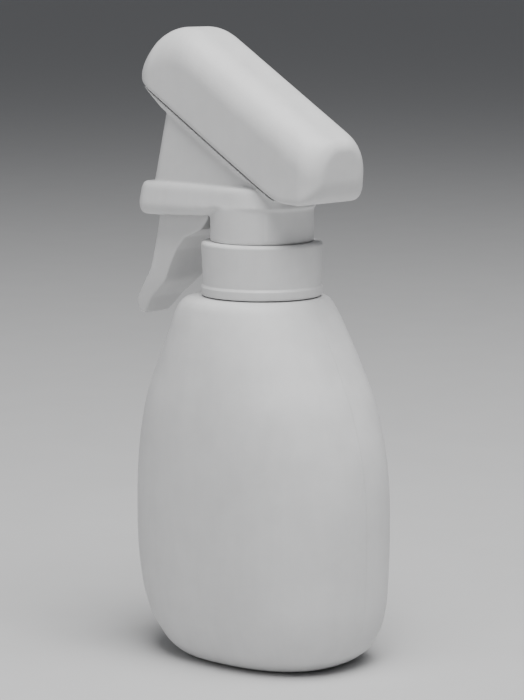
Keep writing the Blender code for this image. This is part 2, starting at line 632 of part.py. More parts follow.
def make_nozzle_parts():
    slope_axis = dict(base=slope_point(0, BARREL_Q), lean=pi / 2 - SLOPE)
    turned("outlet_valve", [
        (0, 36.4), (1.6, 36.4), (1.6, 34.4), (3.2, 34.4), (3.2, 32.4), (2.0, VALVE_SEAT_P + GAP), (0, VALVE_SEAT_P + GAP),
    ], SOFT, **slope_axis)
    coil("outlet_spring", 2.5, 0.3, 5, 34.4 + GAP, 43.0, STEEL, slope_point(0, BARREL_Q), pi / 2 - SLOPE)
    turned("swirl_insert", [
        (0, 51.0), (1.2, 51.0), (1.2, 50.2), (3.4, 50.2), (3.4, 43.3), (1.0, 43.3), (1.0, 48.6), (0, 48.6),
    ], PLASTIC, **slope_axis)
    cap = turned("nozzle_cap", [
        (NOZZLE_R - 0.8, 57.0), (NOZZLE_R, 56.2), (NOZZLE_R, 45.2), (5.9, 45.2), (5.9, 47.6), (5.3, 47.6),
        (5.3, 51.5), (0.4, 51.5), (0.4, 53.2), (2.0, 54.4), (4.9, 54.4), (5.2, 57.0),
    ], PLASTIC, sides=32, **slope_axis)
    ring("nozzle_seal", 5.75, 5.2, 45.5, 47.3, SOFT, **slope_axis)
    return cap


def clear_scene():
    for obj in list(bpy.data.objects):
        bpy.data.objects.remove(obj)


clear_scene()
PARTS = bpy.data.collections.new("spray_bottle")
CUTTERS = bpy.data.collections.new("cutters")
bpy.context.scene.collection.children.link(PARTS)
bpy.context.scene.collection.children.link(CUTTERS)
make_bottle()
make_collar()
make_shroud()
make_housing()
make_trigger()
make_trigger_pin()
make_pump_body()
make_inlet_parts()
make_piston_parts()
make_nozzle_parts()
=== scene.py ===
# %% [markdown]
# # A trigger spray bottle
# The real object is an oval blown bottle with a round neck, a screw collar, and a pump head under
# a sloping cover.  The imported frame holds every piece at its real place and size, in metres.
# Here each piece that can be seen is made again with a finer surface, in millimetres, and the
# hidden ones keep their solids and get a finish.  The camera and the lights come first, so that
# every later step can be looked at.

# %% Load the frame
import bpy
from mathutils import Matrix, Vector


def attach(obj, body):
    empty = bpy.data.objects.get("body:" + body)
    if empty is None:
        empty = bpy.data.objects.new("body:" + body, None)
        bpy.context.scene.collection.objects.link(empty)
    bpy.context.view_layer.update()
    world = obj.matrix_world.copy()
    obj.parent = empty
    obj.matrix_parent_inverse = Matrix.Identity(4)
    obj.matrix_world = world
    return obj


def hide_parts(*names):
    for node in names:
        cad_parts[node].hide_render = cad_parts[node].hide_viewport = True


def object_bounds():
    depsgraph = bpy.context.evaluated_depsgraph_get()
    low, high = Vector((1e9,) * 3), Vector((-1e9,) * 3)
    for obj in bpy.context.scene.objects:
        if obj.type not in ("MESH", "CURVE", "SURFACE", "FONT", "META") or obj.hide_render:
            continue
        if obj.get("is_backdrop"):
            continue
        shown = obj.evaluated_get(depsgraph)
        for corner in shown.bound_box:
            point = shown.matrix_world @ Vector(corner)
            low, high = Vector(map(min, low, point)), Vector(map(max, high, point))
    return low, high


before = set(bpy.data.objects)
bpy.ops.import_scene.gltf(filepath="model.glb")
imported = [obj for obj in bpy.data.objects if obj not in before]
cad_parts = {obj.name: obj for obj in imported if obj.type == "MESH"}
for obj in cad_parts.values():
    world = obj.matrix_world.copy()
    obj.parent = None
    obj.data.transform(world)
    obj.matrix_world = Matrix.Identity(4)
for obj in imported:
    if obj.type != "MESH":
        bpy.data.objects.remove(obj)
cad_box = [list(corner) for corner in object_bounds()]

from math import ceil, cos, hypot, pi, radians, sin, sqrt, tan, tau

import bmesh
import bpy
from mathutils import Matrix, Vector

MM = 0.001
NECK_Y = 2.4             # the neck stands this far behind the middle of the base, in millimetres

# %% [markdown]
# ## Camera, floor and light
# The bottle is seen from behind and to one side, a little above its middle, through a long lens
# so that its uprights stay almost parallel.  The light is soft and comes mostly from above, as
# inside a white tent: one broad lamp overhead, a weaker one on the camera's side, and a pale sky
# that fills the shadows.  The floor is plain and pale.

# %% Camera
camera = bpy.data.objects.new("camera", bpy.data.cameras.new("camera"))
bpy.context.scene.collection.objects.link(camera)
CAMERA_PLACE, AIM_HEIGHT, LENS, SENSOR = (0.6558, 0.5701, 0.2325), 0.1043, 133.9, 36.0
camera.location = Vector(CAMERA_PLACE) + Vector((0, NECK_Y * MM, 0))
target = Vector((0, NECK_Y * MM, AIM_HEIGHT))
camera.rotation_euler = (target - camera.location).to_track_quat("-Z", "Y").to_euler()
camera.data.lens = LENS
camera.data.sensor_width = SENSOR
bpy.context.scene.camera = camera
print("camera", round((target - camera.location).length, 3), "m from the neck axis")


# %% Floor and lights
SKY_COLOUR, SKY_STRENGTH = (0.93, 0.95, 1.0, 1), 0.16
FLOOR_SIZE, FLOOR_DROP = 30.0, 0.0003


def lamp(name, place, size, power, aim=(0, 0, 0.1)):
    """A square lamp of a size in metres and a power in watts, turned towards the bottle."""
    light = bpy.data.lights.new(name, "AREA")
    light.size = size
    light.energy = power
    obj = bpy.data.objects.new(name, light)
    obj.location = place
    obj.rotation_euler = (Vector(aim) - obj.location).to_track_quat("-Z", "Y").to_euler()
    bpy.context.scene.collection.objects.link(obj)
    return obj


lamp("overhead_lamp", (0.22, 0.40, 1.5), 1.1, 41.0)
lamp("side_lamp", (1.3, -0.2, 0.6), 0.9, 2.2)
world = bpy.data.worlds.new("tent")
world.use_nodes = True
sky = world.node_tree.nodes["Background"]
sky.inputs["Color"].default_value = SKY_COLOUR
sky.inputs["Strength"].default_value = SKY_STRENGTH
bpy.context.scene.world = world

floor_mesh = bpy.data.meshes.new("floor")
floor_work = bmesh.new()
bmesh.ops.create_grid(floor_work, x_segments=1, y_segments=1, size=FLOOR_SIZE)
bmesh.ops.translate(floor_work, verts=floor_work.verts, vec=(0, 0, -FLOOR_DROP))
floor_work.to_mesh(floor_mesh)
floor_work.free()
floor = bpy.data.objects.new("floor", floor_mesh)
bpy.context.scene.collection.objects.link(floor)
floor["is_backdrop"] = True
print("two lamps, a pale sky and a floor")

# %% [markdown]
# ## Writing node trees as sums
# A node tree is easier to read as an expression than as a list of links.  A small class wraps a
# socket and gives it Python's operators, and one method makes every other kind of node.  The same
# two are used for the finishes and for the shapes that are made with Geometry Nodes.


# %% The node helpers
class Term:
    """A socket that can be added, scaled and compared like a number."""

    def __init__(self, maker, socket):
        self.maker = maker
        self.socket = socket

    def math(self, operation, *others):
        values = dict(enumerate((self, *others)))
        return self.maker.node("ShaderNodeMath", {"operation": operation}, values)

    def __add__(self, other):
        return self.math("ADD", other)

    def __sub__(self, other):
        return self.math("SUBTRACT", other)

    def __mul__(self, other):
        return self.math("MULTIPLY", other)

    def __truediv__(self, other):
        return self.math("DIVIDE", other)

    def __pow__(self, other):
        return self.math("POWER", other)

    def __abs__(self):
        return self.math("ABSOLUTE")

    def __rsub__(self, other):
        return self.maker.node("ShaderNodeMath", {"operation": "SUBTRACT"}, {0: other, 1: self})

    def __rtruediv__(self, other):
        return self.maker.node("ShaderNodeMath", {"operation": "DIVIDE"}, {0: other, 1: self})

    __radd__ = __add__
    __rmul__ = __mul__

    def band(self, low, high):
        """0 below low and 1 above high, with a smooth rise between."""
        values = {0: self, 1: low, 2: high, 3: 0.0, 4: 1.0}
        return self.maker.node("ShaderNodeMapRange", {"interpolation_type": "SMOOTHSTEP"}, values)


class Maker:
    """Makes nodes in one tree."""

    def __init__(self, tree):
        self.tree = tree

    def node(self, kind, settings=None, values=None, output=0):
        made = self.tree.nodes.new(kind)
        for key, value in (settings or {}).items():
            if key == "curve":
                self.shape_curve(made.mapping, value)
            else:
                setattr(made, key, value)
        for key, value in (values or {}).items():
            self.feed(made.inputs[key], value)
        return Term(self, made.outputs[output])

    def feed(self, socket, value):
        if isinstance(value, Term):
            self.tree.links.new(value.socket, socket)
        else:
            socket.default_value = value

    def shape_curve(self, mapping, points):
        line = mapping.curves[0]
        for index, (x, y) in enumerate(points):
            if index < 2:
                line.points[index].location = (x, y)
            else:
                line.points.new(x, y)
        for point in line.points:
            point.handle_type = "AUTO_CLAMPED"
        mapping.update()


print("node helpers ready")

# %% [markdown]
# ## Finishes
# Almost everything that shows is moulded plastic, pale grey and satin.  Up close such a surface
# isn't even: the mould leaves a fine grain, cooling leaves shallow waves, and handling leaves faint
# rubbed marks and duller patches.  Inner corners are painted a little darker as shade, and outer
# edges a little lighter as a painted highlight.  The patterns read Object coordinates, so they are
# fixed to the piece and have real sizes: a noise scale of 1000 gives features about a millimetre
# across.


# %% A moulded plastic
def new_material(name):
    made = bpy.data.materials.new(name)
    made.use_nodes = True
    return made, Maker(made.node_tree), made.node_tree.nodes["Principled BSDF"]


def noise(maker, place, scale, detail=2.0, rough=0.5, stretch=None):
    if stretch:
        place = maker.node("ShaderNodeMapping", {}, {"Vector": place, "Scale": stretch})
    values = {"Vector": place, "Scale": scale, "Detail": detail, "Roughness": rough}
    return maker.node("ShaderNodeTexNoise", {}, values)


def blend_colour(maker, share, low, high):
    settings = {"data_type": "RGBA", "blend_type": "MIX"}
    return maker.node("ShaderNodeMix", settings, {0: share, 6: (*low, 1), 7: (*high, 1)}, output=2)


def raise_surface(maker, shader, height):
    values = {"Strength": 1.0, "Distance": 1.0, "Height": height}
    maker.feed(shader.inputs["Normal"], maker.node("ShaderNodeBump", {}, values))


GRAIN_DEPTH, WAVE_DEPTH, RIPPLE_DEPTH, RUB_DEPTH = 0.000012, 0.00028, 0.00003, 0.000004
SEAM_INNER, SEAM_OUTER, SEAM_HEIGHT = 0.00008, 0.00026, 0.00007
WEAR_TALL, WEAR_DEPTH = 0.004, 0.00002


def moulded(name, colour, roughness, grain=1.0, waves=1.0, seam=None, foot=None):
    """Satin plastic, with a mould's parting line at x = seam and a worn edge from foot upwards."""
    made, maker, shader = new_material(name)
    place = maker.node("ShaderNodeTexCoord", {}, {}, output="Object")
    cloud = noise(maker, place, 38.0, 3.0)
    patches = noise(maker, place, 140.0, 4.0, 0.6)
    streaks = noise(maker, place, 260.0, 3.0, 0.6, stretch=(1.0, 1.0, 0.08))
    specks = noise(maker, place, 1900.0, 1.0)
    rubs = noise(maker, place, 95.0, 5.0, 0.7, stretch=(1.0, 3.0, 0.35)).band(0.60, 0.74)
    bend = maker.node("ShaderNodeNewGeometry", {}, {}, output="Pointiness")
    # Painted shade: inner corners and creases, where pointiness is low, are darkened in the colour.
    corners = 1.0 - bend.band(0.42, 0.5)
    # Painted highlight: outer edges, where pointiness is high, are lightened in the colour; they
    # are also made a little glossier in the roughness.
    edges = bend.band(0.52, 0.60)

    # Colour tone: random cloud, patches and streaks, plus the painted edge highlight and the
    # painted corner shade.
    tone = cloud * 0.45 + patches * 0.35 + streaks * 0.2 + edges * 0.18 - corners * 0.35
    dark = tuple(part * 0.90 for part in colour)
    light = tuple(min(1.0, part * 1.06) for part in colour)
    maker.feed(shader.inputs["Base Color"], blend_colour(maker, tone.band(0.1, 0.8), dark, light))
    glints = specks.band(0.62, 0.7)
    dull = roughness + (patches - 0.5) * 0.16 + rubs * 0.10 - edges * 0.08 + glints * 0.05
    height = specks * (GRAIN_DEPTH * grain) + cloud * (WAVE_DEPTH * waves)
    height = height + patches * (RIPPLE_DEPTH * waves) - rubs * RUB_DEPTH
    if seam is not None:
        across = maker.node("ShaderNodeSeparateXYZ", {}, {0: place})
        line = 1.0 - abs(across - seam).band(SEAM_INNER, SEAM_OUTER)
        height = height + line * SEAM_HEIGHT
        dull = dull - line * 0.06
    if foot is not None:
        level = maker.node("ShaderNodeSeparateXYZ", {}, {0: place}, output=2)
        wear = (1.0 - level.band(foot, foot + WEAR_TALL)) * patches.band(0.4, 0.6)
        dull = dull + wear * 0.18
        height = height - wear * WEAR_DEPTH
    maker.feed(shader.inputs["Roughness"], dull)
    raise_surface(maker, shader, height)
    shader.inputs["Specular IOR Level"].default_value = 0.42
    print("finish", name)
    return made


PALE = (0.71, 0.71, 0.71)
bottle_marks = {"seam": 0.0, "foot": 0.0}
blown_plastic = moulded("blown_bottle_plastic", PALE, 0.50, grain=0.8, waves=1.5, **bottle_marks)
head_plastic = moulded("moulded_head_plastic", PALE, 0.46)
cover_plastic = moulded("moulded_cover_plastic", PALE, 0.48, waves=1.2)
trigger_plastic = moulded("moulded_trigger_plastic", PALE, 0.44, grain=1.4)
collar_plastic = moulded("moulded_collar_plastic", PALE, 0.45, grain=0.9)
nozzle_plastic = moulded("moulded_nozzle_plastic", PALE, 0.42, grain=0.9, waves=0.5)
inner_plastic = moulded("natural_inner_plastic", (0.62, 0.62, 0.60), 0.38, waves=0.4)

# %% [markdown]
# The pieces inside are soft seals, steel and the extruded dip tube.  The seals are dull and
# slightly mottled.  The steel is metallic, with fine marks left by drawing and grinding along
# its length.  The floor is a matt sheet with the least grain that keeps it from looking like
# nothing at all.


# %% Rubber, steel and the floor
def soft_rubber(name, colour):
    made, maker, shader = new_material(name)
    place = maker.node("ShaderNodeTexCoord", {}, {}, output="Object")
    mottle = noise(maker, place, 420.0, 4.0, 0.6)
    dark = tuple(part * 0.8 for part in colour)
    tone = blend_colour(maker, mottle.band(0.3, 0.7), dark, colour)
    maker.feed(shader.inputs["Base Color"], tone)
    maker.feed(shader.inputs["Roughness"], 0.62 + mottle * 0.2)
    raise_surface(maker, shader, noise(maker, place, 2600.0) * 0.00001)
    print("finish", name)
    return made


def drawn_steel(name):
    made, maker, shader = new_material(name)
    place = maker.node("ShaderNodeTexCoord", {}, {}, output="Object")
    marks = noise(maker, place, 1500.0, 3.0, 0.7, stretch=(0.06, 1.0, 1.0))
    stain = noise(maker, place, 300.0, 2.0)
    tone = blend_colour(maker, stain, (0.47, 0.47, 0.48), (0.6, 0.61, 0.62))
    maker.feed(shader.inputs["Base Color"], tone)
    maker.feed(shader.inputs["Roughness"], 0.2 + marks * 0.2)
    shader.inputs["Metallic"].default_value = 1.0
    raise_surface(maker, shader, marks * 0.000006)
    print("finish", name)
    return made


def plain_floor():
    made, maker, shader = new_material("pale_floor")
    place = maker.node("ShaderNodeTexCoord", {}, {}, output="Object")
    grain = noise(maker, place, 30.0, 4.0)
    tone = blend_colour(maker, grain, (0.54, 0.54, 0.54), (0.57, 0.57, 0.57))
    maker.feed(shader.inputs["Base Color"], tone)
    maker.feed(shader.inputs["Roughness"], 0.8 + grain * 0.1)
    return made


seal_rubber = soft_rubber("soft_seal", (0.42, 0.42, 0.42))
steel = drawn_steel("drawn_steel")
floor.data.materials.append(plain_floor())

# %% [markdown]
# ## Shaping helpers
# The head's shells are built the way a mould is cut: from simple solids that are joined and
# hollowed, and then softened, since no moulded edge is truly sharp.  Lofts and plates make the
# solids, Boolean modifiers join and cut them, and a fine voxel remesh with a few rounds of
# smoothing melts the joints into small fillets.  Every helper takes points as (x, forward, z)
# in millimetres, with forward measured from the neck axis towards the nozzle.


# %% Outlines and solids
def at(x, forward, z):
    return Vector((x, NECK_Y - forward, z)) * MM


def rounded(corners, steps=10):
    """A closed outline whose corners, given as (x, y, radius), are turned into arcs."""
    points = []
    for index, (x, y, radius) in enumerate(corners):
        corner = Vector((x, y))
        before = (Vector(corners[index - 1][:2]) - corner).normalized()
        after = (Vector(corners[(index + 1) % len(corners)][:2]) - corner).normalized()
        half = before.angle(after) / 2
        start, end = (corner + way * (radius / tan(half)) for way in (before, after))
        centre = corner + (before + after).normalized() * (radius / sin(half))
        turn = pi - 2 * half
        count = max(1, ceil(steps * turn / (pi / 2)))
        for step in range(count + 1):
            t = step / count
            mixed = (start - centre) * sin((1 - t) * turn) + (end - centre) * sin(t * turn)
            points.append(centre + mixed / sin(turn))
    return points


def circle(x, y, radius, sides=32):
    angles = [tau * k / sides for k in range(sides)]
    return [(x + radius * cos(angle), y + radius * sin(angle)) for angle in angles]


def solid_from_rings(name, rings):
    """A closed skin over rings of (x, forward, z) points."""
    work = bmesh.new()
    rows = [[work.verts.new(at(*point)) for point in ring] for ring in rings]
    for low, high in zip(rows, rows[1:]):
        for i in range(len(low)):
            j = (i + 1) % len(low)
            work.faces.new((low[i], low[j], high[j], high[i]))
    work.faces.new(rows[0][::-1])
    work.faces.new(rows[-1])
    bmesh.ops.recalc_face_normals(work, faces=work.faces)
    return object_from(work, name)


def object_from(work, name):
    mesh = bpy.data.meshes.new(name)
    work.to_mesh(mesh)
    work.free()
    mesh.shade_smooth()
    obj = bpy.data.objects.new(name, mesh)
    bpy.context.scene.collection.objects.link(obj)
    return obj


CLOSEST = 0.03           # millimetres between two points of an outline


def plate(name, outline, half_width, middle=0.0):
    """A (forward, height) outline that reaches half_width to each side of x = middle.

    Points that all but repeat the one before are left out, since a Boolean trips over them.
    """
    ends = (middle - half_width, middle + half_width)
    pairs = list(zip([outline[-1], *outline], outline))
    outline = [p for last, p in pairs if hypot(p[0] - last[0], p[1] - last[1]) > CLOSEST]
    work = bmesh.new()
    rows = [[work.verts.new(at(x, forward, z)) for forward, z in outline] for x in ends]
    for i in range(len(outline)):
        j = (i + 1) % len(outline)
        work.faces.new((rows[0][i], rows[0][j], rows[1][j], rows[1][i]))
    caps = [work.faces.new(rows[0][::-1]), work.faces.new(rows[1])]
    bmesh.ops.triangulate(work, faces=caps)
    bmesh.ops.recalc_face_normals(work, faces=work.faces)
    return object_from(work, name)


def turned(name, profile, base=(0, 0), lean=0.0, sides=96, spin=0.0):
    """A closed (radius, height) profile turned about an axis that leans forward from upright."""
    tip = Matrix.Translation(at(0, *base)) @ Matrix.Rotation(lean, 4, "X")
    work = bmesh.new()
    rows = []
    for side in range(sides):
        angle = tau * side / sides + spin
        row = []
        for radius, height in profile:
            point = Vector((radius * cos(angle), radius * sin(angle), height)) * MM
            row.append(work.verts.new(tip @ point))
        rows.append(row)
    for side in range(sides):
        here, there = rows[side], rows[(side + 1) % sides]
        for i in range(len(profile)):
            j = (i + 1) % len(profile)
            if max(profile[i][0], profile[j][0]) > 0:
                work.faces.new((here[i], there[i], there[j], here[j]))
    bmesh.ops.remove_doubles(work, verts=work.verts, dist=1e-7)
    bmesh.ops.dissolve_degenerate(work, edges=work.edges, dist=1e-8)
    bmesh.ops.recalc_face_normals(work, faces=work.faces)
    return object_from(work, name)


def rod(name, radius, low, high, base=(0, 0), lean=0.0, spin=0.0):
    return turned(name, [(0, high), (radius, high), (radius, low), (0, low)], base, lean, spin=spin)


print("outlines and solids ready")


# %% Joining, cutting and softening
def settle(obj):
    """Turns an object and its modifiers into a plain mesh at the origin."""
    bpy.context.view_layer.update()
    made = bpy.data.meshes.new_from_object(obj.evaluated_get(bpy.context.evaluated_depsgraph_get()))
    obj.modifiers.clear()
    old = obj.data
    obj.data = made
    bpy.data.meshes.remove(old)
    made.name = obj.name
    made.shade_smooth()
    return obj


def combine(operation, target, *others):
    """Joins the others to the target or cuts them from it, and then removes them."""
    for other in others:
        step = target.modifiers.new("step", "BOOLEAN")
        step.operation = operation
        step.object = other
    settle(target)
    for other in others:
        bpy.data.objects.remove(other)
    return target


def soften(obj, voxel, rounds):
    """A fine even mesh with its edges melted into fillets."""
    even = obj.modifiers.new("even", "REMESH")
    even.mode = "VOXEL"
    even.voxel_size = voxel * MM
    even.use_smooth_shade = True
    melt = obj.modifiers.new("melt", "SMOOTH")
    melt.factor = 0.5
    melt.iterations = rounds
    settle(obj)
    print(obj.name, "softened to", len(obj.data.polygons), "faces")
    return obj


def finish_piece(obj, finish, body, node, *hidden):
    """Gives a piece its finish and its body, and hides the imported node that it stands for."""
    obj.data.materials.clear()
    obj.data.materials.append(finish)
    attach(obj, body)
    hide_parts(node, *hidden)
    corners = (obj.bound_box[0], obj.bound_box[6])
    low, high = ([round(v * 1000, 1) for v in corner] for corner in corners)
    print(obj.name, len(obj.data.polygons), "faces, from", low, "to", high, "mm")
    return obj


print("joining and softening ready")

# %% [markdown]
# ## The bottle
# The real bottle is blown: a tube of soft plastic is closed in a mould and inflated until it
# fills an oval that is fullest a third of the way up, narrows to the shoulder and turns round at
# the neck.  Such a shape follows a rule, since every level section is the same kind of squared
# oval and only its reach changes with height.  So the shell is a tube whose points are moved by a
# node tree: curves give the height, the reach forward, back and to the sides, and the squareness
# along the tube.  The wall is then given its thickness, and the neck its screw thread.

# %% Sizes of the bottle
BOTTLE_STATIONS = (      # height, reach forward, reach back, half width, squareness of the oval
    (2.0, 15.6, 19.7, 13.8, 2.4),
    (1.7, 18.0, 22.8, 16.0, 2.4),
    (0.3, 20.4, 26.0, 18.2, 2.4),
    (0.0, 22.4, 28.6, 19.8, 2.4),
    (0.3, 25.4, 32.0, 22.6, 2.4),
    (2.6, 30.6, 36.6, 26.0, 2.4),
    (8.0, 36.0, 41.7, 29.1, 2.4),
    (17.0, 41.0, 44.6, 31.9, 2.4),
    (30.0, 44.1, 45.4, 33.3, 2.4),
    (48.0, 45.1, 45.6, 33.8, 2.4),
    (66.0, 44.4, 44.3, 33.7, 2.4),
    (84.0, 41.4, 40.0, 32.8, 2.4),
    (100.0, 36.4, 33.4, 30.7, 2.24),
    (111.0, 32.4, 28.0, 28.4, 2.12),
    (117.6, 30.7, 24.6, 26.4, 2.05),
    (121.0, 28.4, 22.6, 24.8, 2.0),
    (122.6, 24.8, 20.9, 22.4, 2.0),
    (123.0, 20.6, 19.0, 19.6, 2.0),
    (123.4, 17.6, 17.4, 17.5, 2.0),
    (124.8, 16.8, 16.8, 16.8, 2.0),
    (135.9, 16.8, 16.8, 16.8, 2.0),
)
SCALES = tuple(max(row[k] for row in BOTTLE_STATIONS) for k in range(5))
walk = [0.0]
for low, high in zip(BOTTLE_STATIONS, BOTTLE_STATIONS[1:]):
    walk.append(walk[-1] + hypot(high[0] - low[0], high[1] - low[1]))
print("the side of the bottle is", round(walk[-1]), "mm long from its base panel to its lip")


# %% The rule of the shell
def share_curve(column):
    """One column of the table against the way along the side, both as shares of the whole."""
    most = SCALES[column]
    return [(along / walk[-1], row[column] / most) for along, row in zip(walk, BOTTLE_STATIONS)]


def node_group(name, sizes):
    """A geometry node group with named inputs, and its maker, inputs and output node."""
    tree = bpy.data.node_groups.new(name, "GeometryNodeTree")
    tree.interface.new_socket("Geometry", in_out="INPUT", socket_type="NodeSocketGeometry")
    tree.interface.new_socket("Geometry", in_out="OUTPUT", socket_type="NodeSocketGeometry")
    for label, kind in sizes.items():
        tree.interface.new_socket(label, in_out="INPUT", socket_type="NodeSocket" + kind)
    maker = Maker(tree)
    inputs = tree.nodes.new("NodeGroupInput")
    terms = {label: Term(maker, inputs.outputs[label]) for label in sizes}
    return tree, maker, terms, tree.nodes.new("NodeGroupOutput")


def close_group(maker, shape, finish, output):
    real = maker.node("GeometryNodeRealizeInstances", {}, {"Geometry": shape})
    done = maker.node("GeometryNodeSetMaterial", {}, {"Geometry": real, "Material": finish})
    maker.feed(output.inputs["Geometry"], done)


def grow(name, tree, values):
    """Runs a group on an empty mesh and keeps the result as a plain mesh."""
    obj = bpy.data.objects.new(name, bpy.data.meshes.new(name))
    bpy.context.scene.collection.objects.link(obj)
    step = obj.modifiers.new("rule", "NODES")
    step.node_group = tree
    for item in tree.interface.items_tree:
        if item.in_out == "INPUT" and item.name in values:
            step[item.identifier] = values[item.name]
    return settle(obj)


sizes = {"Height": "Float", "Front": "Float", "Back": "Float", "Half width": "Float"}
sizes |= {"Sides": "Int", "Rings": "Int", "Finish": "Material"}
shell, make, term, out = node_group("blown_oval_shell", sizes)
settings = {"fill_type": "NGON"}
values = {"Vertices": term["Sides"], "Side Segments": term["Rings"], "Radius": 1.0, "Depth": 1.0}
tube = make.node("GeometryNodeMeshCylinder", settings, values)
place = make.node("GeometryNodeInputPosition")
across, along, up = (make.node("ShaderNodeSeparateXYZ", {}, {0: place}, output=k) for k in range(3))
share = up + 0.5
scales = [term[label] for label in ("Height", "Front", "Back", "Half width")] + [SCALES[4]]
height, front, back, half, square = (
    make.node("ShaderNodeFloatCurve", {"curve": share_curve(k)}, {"Value": share}) * size
    for k, size in enumerate(scales)
)
power = 2.0 / square
ahead = along * -1.0
forward_sign, side_sign = ahead.math("SIGN"), across.math("SIGN")
in_front = ahead.math("GREATER_THAN", 0.0)
reach = back + (front - back) * in_front
forward = forward_sign * abs(ahead) ** power * reach
sideways = side_sign * abs(across) ** power * half
moved = make.node("ShaderNodeCombineXYZ", {}, {0: sideways, 1: NECK_Y * MM - forward, 2: height})
shaped = make.node("GeometryNodeSetPosition", {}, {"Geometry": tube, "Position": moved})
lid = Term(make, tube.socket.node.outputs["Top"])
values = {"Geometry": shaped, "Selection": lid}
opened = make.node("GeometryNodeDeleteGeometry", {"domain": "FACE"}, values)
close_group(make, opened, term["Finish"], out)
print("the shell's rule has", len(shell.nodes), "nodes")

# %% [markdown]
# The thread on the neck is a tapered ridge, carried a little more than once round a rising
# helix and thinned away at both ends, as the mould leaves it.  The collar has the same ridge
# facing inwards.


# %% Blow the bottle
def thread(name, root, crest, widths, start, turns, pitch=4.23, per_turn=96):
    """A ridge from radius root to radius crest, with its widths at both, rising from start."""
    rings = []
    steps = int(turns * per_turn)
    for step in range(steps + 1):
        angle = tau * step / per_turn
        grown = min(1.0, (min(step, steps - step) + 0.3) / (per_turn / 8))
        tip = root + (crest - root) * (0.25 + 0.75 * grown)
        wide, narrow = widths[0] / 2, widths[1] / 2
        section = ((root, -wide), (tip, -narrow), (tip, narrow), (root, wide))
        rise = start + pitch * step / per_turn
        rings.append([(r * cos(angle), -r * sin(angle), rise + dz) for r, dz in section])
    return solid_from_rings(name, rings)


BOTTLE_WALL, SIDES, RINGS = 1.2, 128, 256
values = dict(zip(("Height", "Front", "Back", "Half width"), (size * MM for size in SCALES)))
values |= {"Sides": SIDES, "Rings": RINGS, "Finish": blown_plastic}
bottle = grow("bottle_shell", shell, values)
wall = bottle.modifiers.new("wall", "SOLIDIFY")
wall.thickness = BOTTLE_WALL * MM
wall.offset = -1
settle(bottle)
combine("UNION", bottle, thread("neck_thread", 16.3, 17.9, (2.4, 1.2), 128.6, 1.15))
finish_piece(bottle, blown_plastic, "bottle", "bottle")

# %% [markdown]
# ## The collar
# The collar is a moulded screw cap without a top: a smooth skirt that widens a little upwards, a
# rounded upper rim that catches the light, a low bead at the foot, and a flat ring inside that
# presses the pump's flange and the gasket on the neck.  All of it is turned from one outline.

# %% Turn the collar
COLLAR_OUTLINE = (       # radius, height, rounding
    (20.5, 141.4, 1.2), (19.8, 127.0, 0.8), (20.45, 126.2, 0.5), (20.45, 123.35, 0.8),
    (18.2, 123.35, 0.5), (18.2, 139.7, 0.6), (13.0, 139.7, 0.3), (13.0, 141.4, 0.6),
)
collar = turned("collar_skirt", rounded(COLLAR_OUTLINE, 8), sides=160)
combine("UNION", collar, thread("collar_thread", 18.7, 17.2, (1.8, 0.9), 126.8, 1.0))
finish_piece(collar, collar_plastic, "collar", "collar")

# %% [markdown]
# ## The cover
# The sloping cover over the pump is a thin moulded hood.  Its underside is level at the back and
# then climbs at 32 degrees with the outlet barrel inside it, its top runs parallel to that, and
# both ends are round.  It is made here as a solid hood from upright sections, less a slightly
# smaller one, which leaves an even wall; the nozzle's hole is bored along the slope.

# %% The line of the cover
SLOPE = radians(32.0)
DECK_Z, COVER_THICK, NOSE_P = 167.0, 25.9, 55.6
NOSE_TOP_R, NOSE_LOW_R = 16.5, 6.0
COVER_HALF, COVER_BACK, COVER_FLOOR, COVER_WALL = 15.5, -35.9, 155.4, 1.5
BACK_LOW_R, BACK_TOP_R, COVER_CORNER, NOSE_CORNER = 8.5, 2.5, 7.5, 8.0
EDGE_X, EDGE_Z = 11.0, 12.5
COVER_OPEN, OPEN_DROP = (-22.0, 38.0), 12.0
REAR_LEAN, LEAN_FROM, LEAN_TALL = 2.2, -14.0, 21.0
FULL_END, BACK_END = 30.0, 10.0
BARREL_Q, NOZZLE_R = 8.4, 6.8


def slope_point(p, q):
    """Forward and height of a point p along the slope and q square to it."""
    return p * cos(SLOPE) - q * sin(SLOPE), DECK_Z + p * sin(SLOPE) + q * cos(SLOPE)


FLOOR_BEND = 2.0         # how softly the underside turns from level to sloping


def cover_floor(forward):
    """The height of the cover's underside."""
    slope = DECK_Z + forward * tan(SLOPE)
    return (slope + COVER_FLOOR + hypot(slope - COVER_FLOOR, FLOOR_BEND)) / 2


